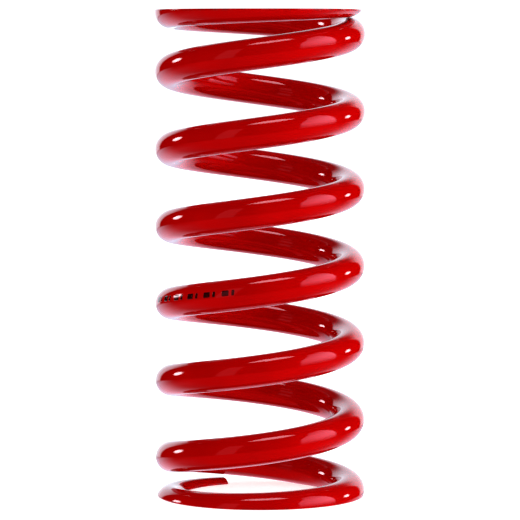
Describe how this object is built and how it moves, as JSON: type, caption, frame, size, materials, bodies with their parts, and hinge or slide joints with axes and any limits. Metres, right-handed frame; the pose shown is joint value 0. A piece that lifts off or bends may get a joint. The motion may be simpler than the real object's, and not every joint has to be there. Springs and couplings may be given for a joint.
{
  "type": "coil spring",
  "caption": "Right-hand wound cylindrical compression spring of round wire, with closed ends ground flat, for a coil-over suspension unit.",
  "frame": {"origin": "on the coil axis, in the lower ground face", "axes": "+Z along the coil axis from the lower ground face to the upper one; +X to the right and -Y to the front, with the lower wire tip at the back, 114.5 degrees round +Z from +X"},
  "size_m": [0.0796, 0.0796, 0.185],
  "materials": {
    "powder_coat": "gloss red powder coat over spring steel"
  },
  "bodies": {
    "lower_end_coil": {"lower_end_coil": "powder_coat"},
    "coil_1_quarter_1": {"coil_1_quarter_1": "powder_coat"},
    "coil_1_quarter_2": {"coil_1_quarter_2": "powder_coat"},
    "coil_1_quarter_3": {"coil_1_quarter_3": "powder_coat"},
    "coil_1_quarter_4": {"coil_1_quarter_4": "powder_coat"},
    "coil_2_quarter_1": {"coil_2_quarter_1": "powder_coat"},
    "coil_2_quarter_2": {"coil_2_quarter_2": "powder_coat"},
    "coil_2_quarter_3": {"coil_2_quarter_3": "powder_coat"},
    "coil_2_quarter_4": {"coil_2_quarter_4": "powder_coat"},
    "coil_3_quarter_1": {"coil_3_quarter_1": "powder_coat"},
    "coil_3_quarter_2": {"coil_3_quarter_2": "powder_coat"},
    "coil_3_quarter_3": {"coil_3_quarter_3": "powder_coat"},
    "coil_3_quarter_4": {"coil_3_quarter_4": "powder_coat"},
    "coil_4_quarter_1": {"coil_4_quarter_1": "powder_coat"},
    "coil_4_quarter_2": {"coil_4_quarter_2": "powder_coat"},
    "coil_4_quarter_3": {"coil_4_quarter_3": "powder_coat"},
    "coil_4_quarter_4": {"coil_4_quarter_4": "powder_coat"},
    "coil_5_quarter_1": {"coil_5_quarter_1": "powder_coat"},
    "coil_5_quarter_2": {"coil_5_quarter_2": "powder_coat"},
    "coil_5_quarter_3": {"coil_5_quarter_3": "powder_coat"},
    "coil_5_quarter_4": {"coil_5_quarter_4": "powder_coat"},
    "coil_6_quarter_1": {"coil_6_quarter_1": "powder_coat"},
    "upper_end_coil": {"upper_end_coil": "powder_coat"}
  },
  "joints": [
    {"name": "compression", "type": "slide", "parent": "lower_end_coil", "child": "upper_end_coil", "axis": [0, 0, -1], "range_m": [0, 0.088], "stiffness_N_per_m": 110000},
    {"name": "coil_1_quarter_1_slide", "type": "slide", "parent": "lower_end_coil", "child": "coil_1_quarter_1", "axis": [0, 0, -1], "range_m": [0, 0.004]},
    {"name": "coil_1_quarter_2_slide", "type": "slide", "parent": "lower_end_coil", "child": "coil_1_quarter_2", "axis": [0, 0, -1], "range_m": [0, 0.008]},
    {"name": "coil_1_quarter_3_slide", "type": "slide", "parent": "lower_end_coil", "child": "coil_1_quarter_3", "axis": [0, 0, -1], "range_m": [0, 0.012]},
    {"name": "coil_1_quarter_4_slide", "type": "slide", "parent": "lower_end_coil", "child": "coil_1_quarter_4", "axis": [0, 0, -1], "range_m": [0, 0.016]},
    {"name": "coil_2_quarter_1_slide", "type": "slide", "parent": "lower_end_coil", "child": "coil_2_quarter_1", "axis": [0, 0, -1], "range_m": [0, 0.02]},
    {"name": "coil_2_quarter_2_slide", "type": "slide", "parent": "lower_end_coil", "child": "coil_2_quarter_2", "axis": [0, 0, -1], "range_m": [0, 0.024]},
    {"name": "coil_2_quarter_3_slide", "type": "slide", "parent": "lower_end_coil", "child": "coil_2_quarter_3", "axis": [0, 0, -1], "range_m": [0, 0.028]},
    {"name": "coil_2_quarter_4_slide", "type": "slide", "parent": "lower_end_coil", "child": "coil_2_quarter_4", "axis": [0, 0, -1], "range_m": [0, 0.032]},
    {"name": "coil_3_quarter_1_slide", "type": "slide", "parent": "lower_end_coil", "child": "coil_3_quarter_1", "axis": [0, 0, -1], "range_m": [0, 0.036]},
    {"name": "coil_3_quarter_2_slide", "type": "slide", "parent": "lower_end_coil", "child": "coil_3_quarter_2", "axis": [0, 0, -1], "range_m": [0, 0.04]},
    {"name": "coil_3_quarter_3_slide", "type": "slide", "parent": "lower_end_coil", "child": "coil_3_quarter_3", "axis": [0, 0, -1], "range_m": [0, 0.044]},
    {"name": "coil_3_quarter_4_slide", "type": "slide", "parent": "lower_end_coil", "child": "coil_3_quarter_4", "axis": [0, 0, -1], "range_m": [0, 0.048]},
    {"name": "coil_4_quarter_1_slide", "type": "slide", "parent": "lower_end_coil", "child": "coil_4_quarter_1", "axis": [0, 0, -1], "range_m": [0, 0.052]},
    {"name": "coil_4_quarter_2_slide", "type": "slide", "parent": "lower_end_coil", "child": "coil_4_quarter_2", "axis": [0, 0, -1], "range_m": [0, 0.056]},
    {"name": "coil_4_quarter_3_slide", "type": "slide", "parent": "lower_end_coil", "child": "coil_4_quarter_3", "axis": [0, 0, -1], "range_m": [0, 0.06]},
    {"name": "coil_4_quarter_4_slide", "type": "slide", "parent": "lower_end_coil", "child": "coil_4_quarter_4", "axis": [0, 0, -1], "range_m": [0, 0.064]},
    {"name": "coil_5_quarter_1_slide", "type": "slide", "parent": "lower_end_coil", "child": "coil_5_quarter_1", "axis": [0, 0, -1], "range_m": [0, 0.068]},
    {"name": "coil_5_quarter_2_slide", "type": "slide", "parent": "lower_end_coil", "child": "coil_5_quarter_2", "axis": [0, 0, -1], "range_m": [0, 0.072]},
    {"name": "coil_5_quarter_3_slide", "type": "slide", "parent": "lower_end_coil", "child": "coil_5_quarter_3", "axis": [0, 0, -1], "range_m": [0, 0.076]},
    {"name": "coil_5_quarter_4_slide", "type": "slide", "parent": "lower_end_coil", "child": "coil_5_quarter_4", "axis": [0, 0, -1], "range_m": [0, 0.08]},
    {"name": "coil_6_quarter_1_slide", "type": "slide", "parent": "lower_end_coil", "child": "coil_6_quarter_1", "axis": [0, 0, -1], "range_m": [0, 0.084]}
  ],
  "couplings": [
    {"joint": "coil_1_quarter_1_slide", "follows": "compression", "ratio": 0.045455},
    {"joint": "coil_1_quarter_2_slide", "follows": "compression", "ratio": 0.090909},
    {"joint": "coil_1_quarter_3_slide", "follows": "compression", "ratio": 0.13636},
    {"joint": "coil_1_quarter_4_slide", "follows": "compression", "ratio": 0.18182},
    {"joint": "coil_2_quarter_1_slide", "follows": "compression", "ratio": 0.22727},
    {"joint": "coil_2_quarter_2_slide", "follows": "compression", "ratio": 0.27273},
    {"joint": "coil_2_quarter_3_slide", "follows": "compression", "ratio": 0.31818},
    {"joint": "coil_2_quarter_4_slide", "follows": "compression", "ratio": 0.36364},
    {"joint": "coil_3_quarter_1_slide", "follows": "compression", "ratio": 0.40909},
    {"joint": "coil_3_quarter_2_slide", "follows": "compression", "ratio": 0.45455},
    {"joint": "coil_3_quarter_3_slide", "follows": "compression", "ratio": 0.5},
    {"joint": "coil_3_quarter_4_slide", "follows": "compression", "ratio": 0.54545},
    {"joint": "coil_4_quarter_1_slide", "follows": "compression", "ratio": 0.59091},
    {"joint": "coil_4_quarter_2_slide", "follows": "compression", "ratio": 0.63636},
    {"joint": "coil_4_quarter_3_slide", "follows": "compression", "ratio": 0.68182},
    {"joint": "coil_4_quarter_4_slide", "follows": "compression", "ratio": 0.72727},
    {"joint": "coil_5_quarter_1_slide", "follows": "compression", "ratio": 0.77273},
    {"joint": "coil_5_quarter_2_slide", "follows": "compression", "ratio": 0.81818},
    {"joint": "coil_5_quarter_3_slide", "follows": "compression", "ratio": 0.86364},
    {"joint": "coil_5_quarter_4_slide", "follows": "compression", "ratio": 0.90909},
    {"joint": "coil_6_quarter_1_slide", "follows": "compression", "ratio": 0.95455}
  ]
}
